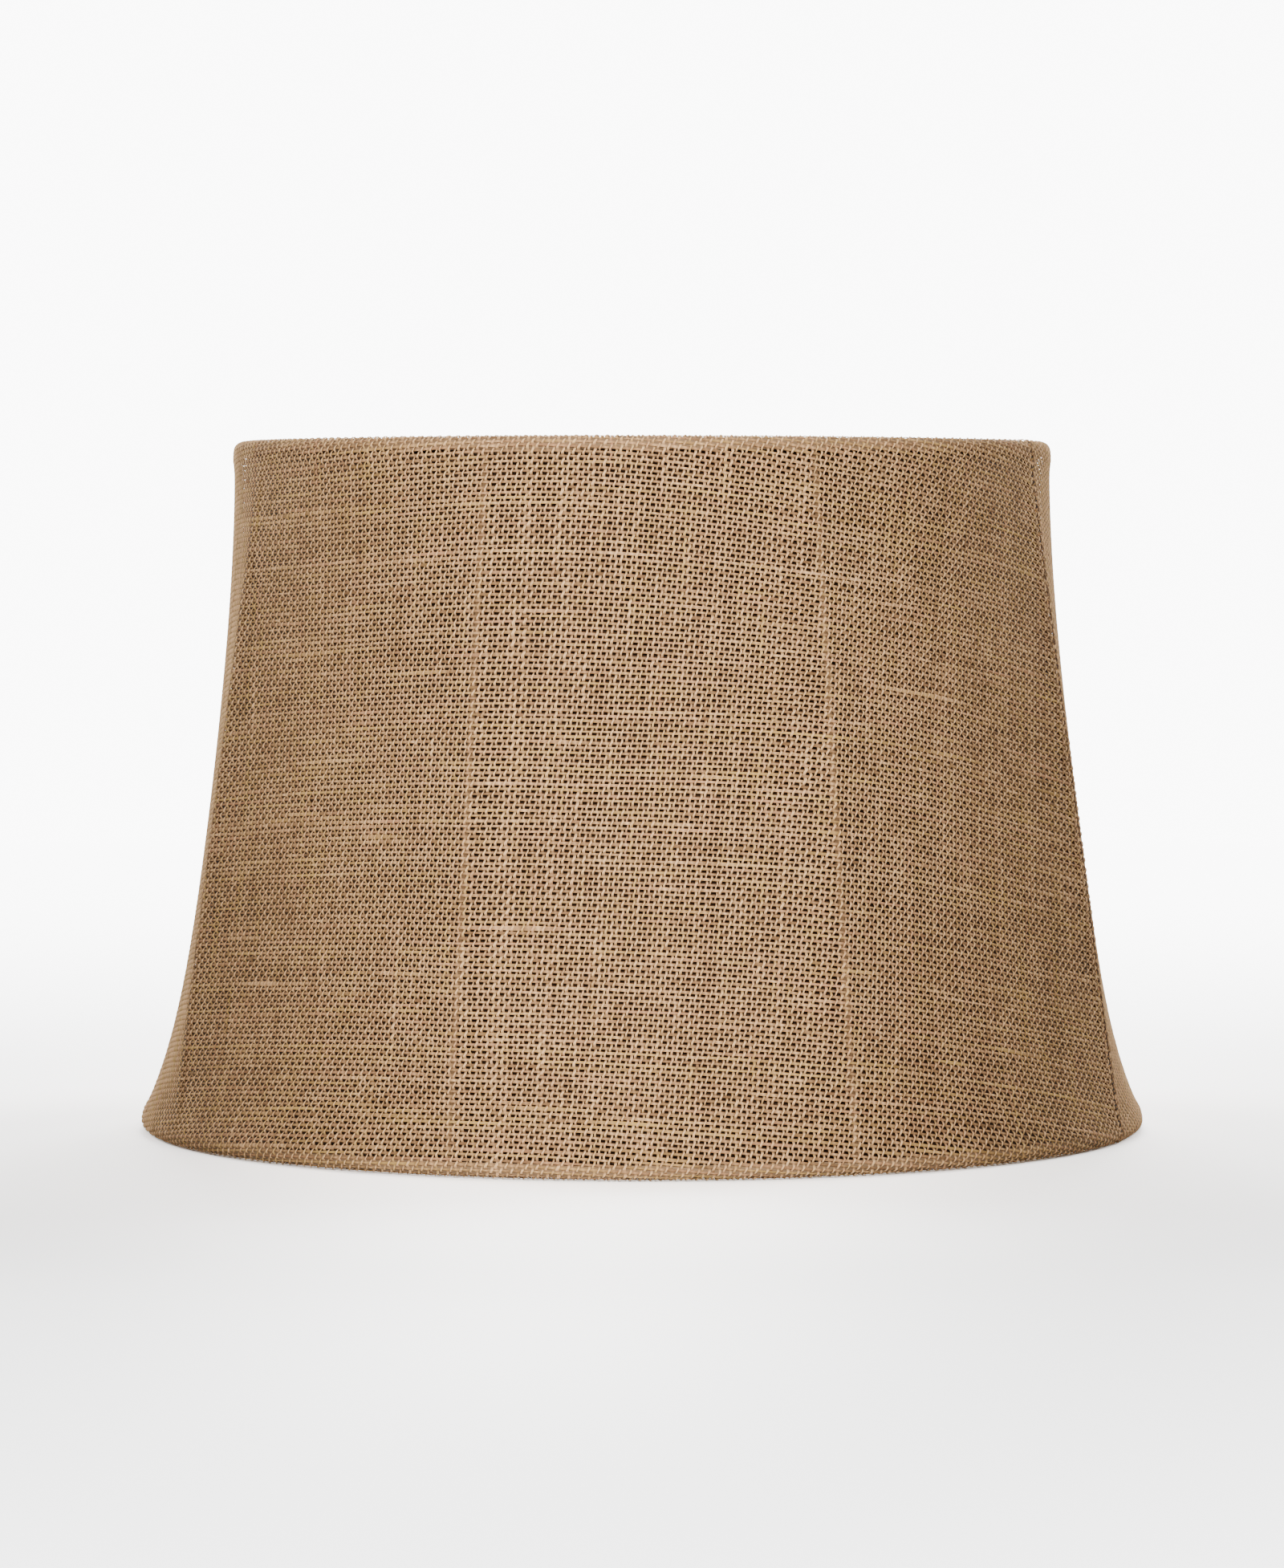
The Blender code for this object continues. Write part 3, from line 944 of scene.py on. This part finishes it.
@dataclass
class SeamStitches:
    """The machine stitches that show in the groove of one seam of the cover."""

    name: str
    azimuth: float
    material: bpy.types.Material
    step: float = 0.0032
    length: float = 0.0025
    thickness: float = 0.00050
    end_gap: float = 0.002
    unevenness: float = 0.00015
    rise: float = 0.0002
    dive: float = 0.0009
    seed: int = 11
    sides: int = 5
    stations: int = 5

    def build(self) -> bpy.types.Object:
        """Builds the stitches from rim to rim.

        Returns:
            The piece.
        """
        count = int((SIZES.wall - 2 * self.end_gap) / self.step)
        rng = np.random.default_rng(self.seed)
        tube = grid_faces(self.stations, self.sides, closed=True)[:, ::-1]
        points, faces = [], []
        for number in range(count):
            start = self.end_gap + number * self.step + rng.normal() * self.unevenness
            points.append(self.stitch(start))
            faces.append(tube + number * self.stations * self.sides)
        piece = new_piece(self.name, np.concatenate(points), np.concatenate(faces), self.material)
        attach(piece, "root")
        LOG.info("%s: %d stitches", self.name, count)
        return piece

    def stitch(self, start: float) -> Array:
        """Shapes one stitch, whose ends dive into the cloth.

        Args:
            start: Distance up the seam at which the stitch starts.

        Returns:
            Rows of x, y and z.
        """
        share = np.linspace(0, 1, self.stations)
        climb = (start + share * self.length) / SIZES.wall
        z = SIZES.bottom_ring.y + (SIZES.top_ring.y - SIZES.bottom_ring.y) * climb
        height = self.rise - self.dive * (2 * share - 1) ** 4 - SIZES.cover_thickness / 2
        radius = SIZES.cover_radius(np.full_like(z, self.azimuth), z) + height
        thick = self.thickness / 2 * np.sqrt(np.clip(1.05 - (2 * share - 1) ** 6, 0.05, 1))
        turn = np.arange(self.sides) * math.tau / self.sides
        out = radius[:, None] + thick[:, None] * np.cos(turn)
        side = self.azimuth + thick[:, None] * np.sin(turn) / radius[:, None]
        return polar(out, side, np.broadcast_to(z[:, None], out.shape)).reshape(-1, 3)


# ---- The lining and the bound rings ----


@dataclass
class LiningHalf:
    """One half of the lining: a thin cloth stretched inside the ribs, lightly puckered at its edges."""

    side: str
    middle: float
    seed: int
    material: bpy.types.Material
    # Nearly black-brown cloth on the lining's outer face: painted shade that shows through the holes of the
    # weave.
    painted_shade_backing: bpy.types.Material
    columns: int = 145
    rows: int = 49
    pucker: float = 0.00022
    pucker_reach: float = 0.030
    pucker_in: float = -0.0006
    pucker_out: float = 0.0002
    arm_dip: float = 0.0022
    arm_reach: float = 0.004
    seam_gap: float = 0.00001
    rib_hug: float = 0.0009
    hug_reach: float = 0.004
    turn_over: float = 0.020

    def build(self) -> bpy.types.Object:
        """Builds the half, and gives it its thickness.

        Returns:
            The piece.
        """
        rng = np.random.default_rng(self.seed)
        gap = self.seam_gap / SIZES.top_ring.x
        azimuth = self.middle + np.linspace(-math.pi / 2 + gap, math.pi / 2 - gap, self.columns)
        share = (1 - np.cos(np.linspace(0, math.pi, self.rows)))[:, None] / 2
        low, high = SIZES.bottom_ring.y, self.top_edge(azimuth)[None, :]
        heights = low + (high - low) * share
        azimuths = np.broadcast_to(azimuth[None, :], heights.shape)
        edge, rim = (
            np.exp(-(heights - low) / reach) + np.exp(-(high - heights) / reach)
            for reach in (self.pucker_reach, self.hug_reach)
        )
        folds = drift(rng, (self.rows, self.columns), (30, 2.4)) * edge * self.pucker
        hug = self.rib_hug * np.clip(1 - 2 * rim, 0, 1)
        radius = SIZES.lining_radius(azimuths, heights) + hug
        radius = radius + np.clip(folds, self.pucker_in, self.pucker_out)
        points = polar(radius, azimuths, heights).reshape(-1, 3)
        faces = grid_faces(self.rows, self.columns)
        piece = new_piece(f"lining_{self.side}_cloth", points, faces, self.painted_shade_backing)
        piece.data.materials.append(self.material)
        climb = (heights - low) * SIZES.wall / (SIZES.top_ring.y - low)
        cloth = np.stack([(azimuths - self.middle) * SIZES.ring_line(heights), climb], axis=-1)
        add_uv(piece, "cloth", cloth.reshape(-1, 2)[faces.ravel()])
        thicken(piece, SIZES.lining_thickness)
        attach(piece, "root")
        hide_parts(f"lining_{self.side}_half")
        LOG.info("%s: %d triangles", piece.name, triangles(piece))
        return piece

    def top_edge(self, azimuth: Array) -> Array:
        """Works out the height of the top edge, which dips under each of the fitter's arms.

        Args:
            azimuth: Azimuths of the points along the edge.

        Returns:
            The height at each point.
        """
        dip = np.zeros_like(azimuth)
        for arm in SIZES.arm_azimuths():
            away = np.abs((azimuth - arm + math.pi) % math.tau - math.pi) * SIZES.top_ring.x
            dip = np.maximum(dip, np.clip(2 - away / self.arm_reach, 0, 1))
        return SIZES.top_ring.y - self.arm_dip * dip


def thicken(piece: bpy.types.Object, thickness: float) -> None:
    """Gives a sheet its thickness inwards, with its rim closed.

    Args:
        piece: The sheet. Its last material goes on the inner face.
        thickness: The thickness in metres.
    """
    modifier = piece.modifiers.new("thickness", "SOLIDIFY")
    modifier.thickness = thickness
    modifier.offset = -1.0
    modifier.use_rim = True
    modifier.material_offset = len(piece.data.materials) - 1
    choose(piece)
    bpy.ops.object.modifier_apply(modifier=modifier.name)


@dataclass
class RingBinding:
    """The cotton tape that is folded round one ring and sewn along its open edge."""

    name: str
    ring: Vector
    slit: float
    material: bpy.types.Material
    columns: int = 480
    sides: int = 13
    ripple: float = 0.00010
    ripple_limit: float = 0.0002
    join: int = 4
    turned_edge: float = 0.0008
    crown: float = 0.00095

    def build(self) -> bpy.types.Object:
        """Builds the tape.

        Returns:
            The piece.
        """
        rng = np.random.default_rng(len(self.name))
        half_slit = math.asin((SIZES.rib_wire / 2 + SIZES.clearance / 4) / SIZES.tape_outer)
        turn = np.linspace(self.slit + half_slit, self.slit + math.tau - half_slit, self.sides)
        azimuth = np.arange(self.columns) * math.tau / self.columns
        azimuths, turns = np.broadcast_arrays(azimuth[:, None], turn[None, :])
        folds = drift(rng, azimuths.shape, (1.6, 6)) * self.ripple
        folds[-self.join:] *= np.linspace(1, 0, self.join)[:, None]
        folds[:self.join] *= np.linspace(0, 1, self.join)[:, None]
        away_from_slit = np.sin(turns) * math.copysign(1, -math.sin(self.slit))
        crown = self.crown * np.maximum(away_from_slit, 0) ** 1.5
        reach = SIZES.tape_outer + crown + np.clip(folds, -self.ripple_limit, self.ripple_limit)
        points = polar(self.ring.x + reach * np.cos(turns), azimuths, self.ring.y + reach * np.sin(turns))
        faces = self.around()
        piece = new_piece(f"{self.name}_tape", points.reshape(-1, 3), faces, self.material)
        cloth = np.stack([azimuths * self.ring.x, (turns - self.slit) * SIZES.tape_outer], axis=-1)
        add_uv(piece, "cloth", cloth.reshape(-1, 2)[faces.ravel()])
        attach(piece, "root")
        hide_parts(f"{self.name}_binding")
        LOG.info("%s: %d triangles", piece.name, triangles(piece))
        return piece

    def around(self) -> Array:
        """Joins the tape's points round the ring, but leaves it open along the slit.

        Returns:
            Rows of four point numbers.
        """
        row = np.arange(self.columns)[:, None] * self.sides
        after = (np.arange(self.columns)[:, None] + 1) % self.columns * self.sides
        column = np.arange(self.sides - 1)[None, :]
        corners = [row + column, after + column, after + column + 1, row + column + 1]
        return np.stack(np.broadcast_arrays(*corners), axis=-1).reshape(-1, 4)


# ---- The spider fitter ----


def choose(piece: bpy.types.Object) -> None:
    """Makes a piece the only chosen one.

    Args:
        piece: The piece.
    """
    bpy.ops.object.select_all(action="DESELECT")
    piece.select_set(True)
    bpy.context.view_layer.objects.active = piece


def settle(piece: bpy.types.Object) -> None:
    """Moves a piece's place, turn and scale into its mesh."""
    choose(piece)
    bpy.ops.object.transform_apply(location=True, rotation=True, scale=True)


@dataclass
class SpiderFitter:
    """Three bent arms in from the top ring, and the washer that a harp's stud passes through."""

    material: bpy.types.Material
    wire_sides: int = 16
    bend_steps: int = 8
    hammered_end: float = 0.004
    hammered_shape: tuple[float, float, float] = (1.25, 1.0, 0.80)
    bead: float = 0.0021
    bead_shape: tuple[float, float, float] = (1.5, 0.9, 0.62)
    bead_inset: float = 0.0002
    bead_roughness: float = 0.00005
    bead_seed: int = 5
    washer_sides: int = 72
    coined_width: float = 0.0014
    coined_slope: float = 0.35
    coined_depth: float = 0.00025
    washer_bevel: float = 0.0004
    smooth_angle: float = math.radians(40)

    @property
    def level(self) -> float:
        """Height of the washer's middle."""
        return SIZES.top_ring.y - SIZES.spider_drop

    def build(self) -> None:
        """Builds the arms, the washer and the beads of braze between them."""
        first = self.arm()
        for number, azimuth in enumerate(SIZES.arm_azimuths()):
            arm = first if number == 0 else self.copy(first, azimuth)
            arm.name = arm.data.name = f"brass_arm_{number + 1}"
            self.place(arm, f"spider_arm_{number + 1}", "spider_wire")
        self.place(self.washer(), "spider_washer", "spider_washer")

    def place(self, piece: bpy.types.Object, node: str, slot: str) -> None:
        """Gives a piece its brass, and hides the node that it stands for.

        Args:
            piece: The piece.
            node: The node that it replaces.
            slot: Not used.
        """
        piece.data.materials.clear()
        piece.data.materials.append(self.material)
        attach(piece, "root")
        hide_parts(node)
        LOG.info("%s: %d triangles", piece.name, triangles(piece))

    def copy(self, arm: bpy.types.Object, azimuth: float) -> bpy.types.Object:
        """Copies an arm with its mesh, and turns the copy to an azimuth.

        Args:
            arm: The front arm.
            azimuth: Where the copy goes.

        Returns:
            The copy.
        """
        other = arm.copy()
        other.data = arm.data.copy()
        bpy.context.scene.collection.objects.link(other)
        other.matrix_world = Matrix.Rotation(azimuth, 4, "Z")
        settle(other)
        return other

    def arm(self) -> bpy.types.Object:
        """Builds the front arm: in from the ring past the hem, down by the drop, and in to the washer.

        Returns:
            The piece.
        """
        bend, top = SIZES.arm_bend, SIZES.top_ring.y
        start = SIZES.top_ring.x - SIZES.ring_wire / 2 - SIZES.clearance
        turn = SIZES.top_diameter / 2 - 2 * SIZES.rim_outer - bend - SIZES.clearance
        end = SIZES.washer_diameter / 2 + SIZES.clearance
        bpy.ops.object.select_all(action="DESELECT")
        bpy.ops.mesh.primitive_circle_add(
            vertices=self.wire_sides, radius=SIZES.arm_wire / 2, fill_type="NGON",
            location=(0, -start, top), rotation=(math.pi / 2, 0, 0),
        )
        arm = bpy.context.object
        settle(arm)
        bpy.ops.object.mode_set(mode="EDIT")
        bpy.ops.mesh.select_all(action="SELECT")
        self.push((0, start - turn - bend, 0))
        self.bend((0, -turn - bend, top - bend), math.pi / 2)
        self.push((0, 0, -(SIZES.spider_drop - 2 * bend)))
        self.bend((0, -turn + bend, self.level + bend), -math.pi / 2)
        self.push((0, turn - bend - end - self.hammered_end, 0))
        self.push((0, self.hammered_end, 0))
        bpy.ops.transform.resize(value=self.hammered_shape)
        bpy.ops.mesh.select_all(action="SELECT")
        bpy.ops.mesh.remove_doubles(threshold=1e-6)
        bpy.ops.mesh.normals_make_consistent(inside=False)
        bpy.ops.object.mode_set(mode="OBJECT")
        bead = self.weld((0, -end + self.bead_inset, self.level))
        choose(arm)
        bead.select_set(True)
        bpy.ops.object.join()
        bpy.ops.object.shade_smooth_by_angle(angle=self.smooth_angle)
        return arm

    def push(self, way: tuple[float, float, float]) -> None:
        """Extrudes the chosen end of the wire."""
        bpy.ops.mesh.extrude_region_move(TRANSFORM_OT_translate={"value": way})

    def bend(self, centre: tuple[float, float, float], angle: float) -> None:
        """Spins the chosen end of the wire round a bend."""
        bpy.ops.mesh.spin(steps=self.bend_steps, angle=angle, center=centre, axis=(1, 0, 0))

    def weld(self, centre: tuple[float, float, float]) -> bpy.types.Object:
        """Builds a bead of braze, flattened and a little uneven.

        Args:
            centre: The bead's place.

        Returns:
            The bead, which is joined to an arm afterwards.
        """
        bpy.ops.object.select_all(action="DESELECT")
        bpy.ops.mesh.primitive_uv_sphere_add(segments=14, ring_count=9, radius=self.bead, location=centre)
        bead = bpy.context.object
        bead.scale = self.bead_shape
        settle(bead)
        rng = np.random.default_rng(self.bead_seed)
        for point in bead.data.vertices:
            point.co += Vector(rng.normal(size=3)) * self.bead_roughness
        return bead

    def washer(self) -> bpy.types.Object:
        """Builds the washer: a disc with a hole, rounded edges and a coined ring round the hole.

        Returns:
            The piece.
        """
        outer, hole = SIZES.washer_diameter / 2, SIZES.washer_hole / 2
        bpy.ops.object.select_all(action="DESELECT")
        bpy.ops.mesh.primitive_cylinder_add(
            vertices=self.washer_sides, radius=outer, depth=SIZES.washer_thickness,
            location=(0, 0, self.level),
        )
        washer = bpy.context.object
        washer.name = washer.data.name = "brass_washer"
        settle(washer)
        bpy.ops.object.mode_set(mode="EDIT")
        bpy.ops.mesh.select_mode(type="FACE")
        bpy.ops.object.mode_set(mode="OBJECT")
        for face in washer.data.polygons:
            face.select = abs(face.normal.z) > 0.5
        bpy.ops.object.mode_set(mode="EDIT")
        coined = self.coined_width
        bpy.ops.mesh.inset(thickness=outer - hole - coined, depth=0)
        bpy.ops.mesh.inset(thickness=coined * self.coined_slope, depth=-self.coined_depth)
        bpy.ops.mesh.inset(thickness=coined * (1 - self.coined_slope), depth=0)
        bpy.ops.mesh.bridge_edge_loops()
        bpy.ops.object.mode_set(mode="OBJECT")
        self.round_edges(washer, (outer, hole))
        return washer

    def round_edges(self, washer: bpy.types.Object, radii: tuple[float, float]) -> None:
        """Bevels the washer's rim and its hole's rim.

        Args:
            washer: The washer.
            radii: Radius of the rim and radius of the hole.
        """
        points = washer.data.vertices
        face_level = 0.7 * SIZES.washer_thickness / 2
        for edge in washer.data.edges:
            ends = [points[index].co for index in edge.vertices]
            near = [min(abs(math.hypot(end.x, end.y) - radius) for radius in radii) for end in ends]
            level = abs(ends[0].z - ends[1].z) < 1e-6 and abs(ends[0].z - self.level) > face_level
            edge.select = level and max(near) < 1e-4
        for face in washer.data.polygons:
            face.select = False
        bpy.ops.object.mode_set(mode="EDIT")
        bpy.ops.mesh.select_mode(type="EDGE")
        bpy.ops.mesh.bevel(offset=self.washer_bevel, segments=3, affect="EDGES")
        bpy.ops.object.mode_set(mode="OBJECT")
        bpy.ops.object.shade_smooth_by_angle(angle=self.smooth_angle)


# ---- Studio ----


@dataclass(frozen=True)
class SoftBox:
    """A broad soft light: its azimuth and elevation in degrees, distance, width, and share of the fill."""

    name: str
    place: tuple[float, float]
    distance: float
    width: float
    share: float


SOFT_BOXES = (
    SoftBox("back_key", (176, 30), 2.2, 1.2, 1.6),
    SoftBox("left_kicker", (-122, 22), 2.2, 1.0, 1.0),
    SoftBox("right_kicker", (122, 22), 2.2, 1.0, 1.0),
    SoftBox("overhead", (150, 80), 2.4, 1.8, 0.5),
)


@dataclass
class Studio:
    """The floor, the lights, the light surroundings and the camera."""

    eye_distance: float = 2.212
    eye_height: float = 0.2359
    eye_azimuth: float = math.radians(-1.2)
    lens: float = 125.0
    surround: float = 0.10
    backdrop: float = 10.0
    key_place: tuple[float, float] = (-4, 16)
    key_distance: float = 2.4
    key_power: float = 390.0
    key_softness: float = 0.09
    key_colour: Rgb = (1.0, 0.99, 0.97)
    beam: float = 0.225
    beam_height: float = 2.6
    fill_power: float = 30.0
    floor_radius: float = 30.0
    floor_level: float = -0.0008

    def build(self) -> None:
        """Builds the whole studio."""
        self.floor()
        self.world()
        self.key()
        for box in SOFT_BOXES:
            self.light(box)
        self.camera()

    def floor(self) -> None:
        """Lays the floor."""
        bpy.ops.object.select_all(action="DESELECT")
        bpy.ops.mesh.primitive_circle_add(vertices=96, radius=self.floor_radius, fill_type="NGON")
        floor = bpy.context.object
        floor.name = "studio_floor"
        floor.data.transform(Matrix.Translation((0, 0, self.floor_level)))
        paper = StudioFloorFinish(surround=self.surround, backdrop=self.backdrop)
        floor.data.materials.append(paper.make())

    def world(self) -> None:
        """Lights the surroundings evenly, and shows the lens a brighter backdrop."""
        world = bpy.data.worlds.new("studio")
        world.use_nodes = True
        tree = world.node_tree
        sky = tree.nodes["Background"]
        sky.inputs["Color"].default_value = (1, 1, 1, 1)
        seen = tree.nodes.new("ShaderNodeLightPath").outputs["Is Camera Ray"]
        level = tree.nodes.new("ShaderNodeMapRange")
        level.inputs["To Min"].default_value = self.surround
        level.inputs["To Max"].default_value = self.backdrop
        tree.links.new(seen, level.inputs["Value"])
        tree.links.new(level.outputs[0], sky.inputs["Strength"])
        bpy.context.scene.world = world

    def key(self) -> None:
        """Hangs the key light, whose tall narrow beam fades out across the side panels."""
        lamp = bpy.data.lights.new("key", "SPOT")
        lamp.energy = self.key_power
        lamp.color = self.key_colour
        lamp.shadow_soft_size = self.key_softness
        lamp.spot_blend = 1.0
        lamp.spot_size = 2 * math.atan(self.beam / self.key_distance)
        holder = self.hang(lamp, self.key_place, self.key_distance)
        holder.scale = (1.0, self.beam_height, 1.0)

    def light(self, box: SoftBox) -> None:
        """Hangs a broad soft light.

        Args:
            box: The light's place, width and power.
        """
        lamp = bpy.data.lights.new(box.name, "AREA")
        lamp.size = box.width
        lamp.energy = self.fill_power * box.share
        self.hang(lamp, box.place, box.distance)

    def hang(self, lamp: bpy.types.Light, place: tuple[float, float], distance: float) -> bpy.types.Object:
        """Points a light at the middle of the shade, out of the lens's sight.

        Args:
            lamp: The light.
            place: Azimuth and elevation in degrees.
            distance: Distance from the middle of the shade.

        Returns:
            The light's holder.
        """
        azimuth, elevation = (math.radians(angle) for angle in place)
        flat = polar(math.cos(elevation), azimuth, math.sin(elevation))
        out = Vector(flat.tolist())
        holder = bpy.data.objects.new(lamp.name, lamp)
        holder.location = Vector((0, 0, SIZES.height / 2)) + out * distance
        holder.rotation_euler = (-out).to_track_quat("-Z", "Y").to_euler()
        holder.visible_camera = False
        bpy.context.scene.collection.objects.link(holder)
        return holder

    def camera(self) -> None:
        """Sets up the camera in front, a little above the middle of the shade."""
        lens = bpy.data.cameras.new("camera")
        lens.lens = self.lens
        lens.sensor_width = 36.0
        lens.clip_end = 100.0
        eye = bpy.data.objects.new("camera", lens)
        place = polar(self.eye_distance, self.eye_azimuth, self.eye_height)
        eye.location = Vector(place.tolist())
        aim = Vector((0, 0, SIZES.height / 2)) - eye.location
        eye.rotation_euler = aim.to_track_quat("-Z", "Y").to_euler()
        bpy.context.scene.collection.objects.link(eye)
        bpy.context.scene.camera = eye


# ---- Assembly ----


RIGHT_SEAM = 1.5 * SIZES.panel
FRONT = RIGHT_SEAM - math.pi / 2
BACK = RIGHT_SEAM + math.pi / 2


def dress_frame() -> None:
    """Gives the welded frame's own nodes their enamel."""
    enamel = EnamelFinish().make()
    for name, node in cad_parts.items():
        if name.endswith("_ring") or name.startswith("rib_"):
            node.data.materials.clear()
            node.data.materials.append(enamel)


def build_cover() -> None:
    """Builds the woven cover and its seams."""
    jute = JuteFinish().make()
    BurlapHalf("front", FRONT, seed=3, material=jute).build()
    BurlapHalf("back", BACK, seed=4, material=jute).build()
    thread = ClothFinish("sewing_thread", (0.13, 0.075, 0.040), (0.05, 0.028, 0.015), 0.0006).make()
    SeamStitches("right_seam_stitches", RIGHT_SEAM, thread).build()
    SeamStitches("left_seam_stitches", RIGHT_SEAM - math.pi, thread).build()


def build_inside() -> None:
    """Builds the lining and the tapes round the rings."""
    linen = ClothFinish("lining_linen", (0.56, 0.42, 0.27), (0.40, 0.28, 0.17), 0.0009).make()
    # The lining's outer face is coloured nearly black-brown as painted shade for the shaded gap behind the
    # cover, seen through the holes of the weave.
    painted_shade_backing = ClothFinish("lining_backing", (0.085, 0.045, 0.021), (0.060, 0.032, 0.015), 0.0009).make()
    cotton = ClothFinish("cotton_tape", (0.34, 0.22, 0.12), (0.20, 0.12, 0.06), 0.0007).make()
    LiningHalf("front", FRONT, seed=7, material=linen, painted_shade_backing=painted_shade_backing).build()
    LiningHalf("back", BACK, seed=8, material=linen, painted_shade_backing=painted_shade_backing).build()
    slope = SIZES.top_ring - SIZES.bottom_ring
    up = math.atan2(slope.y, slope.x)
    RingBinding("top_ring", SIZES.top_ring, up + math.pi, cotton).build()
    RingBinding("bottom_ring", SIZES.bottom_ring, up, cotton).build()


def main() -> None:
    """Builds the shade in its studio."""
    logging.basicConfig(level=logging.INFO, format="%(name)s: %(message)s")
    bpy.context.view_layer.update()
    Studio().build()
    dress_frame()
    build_inside()
    build_cover()
    SpiderFitter(BrassFinish().make()).build()


if __name__ == "__main__":
    main()
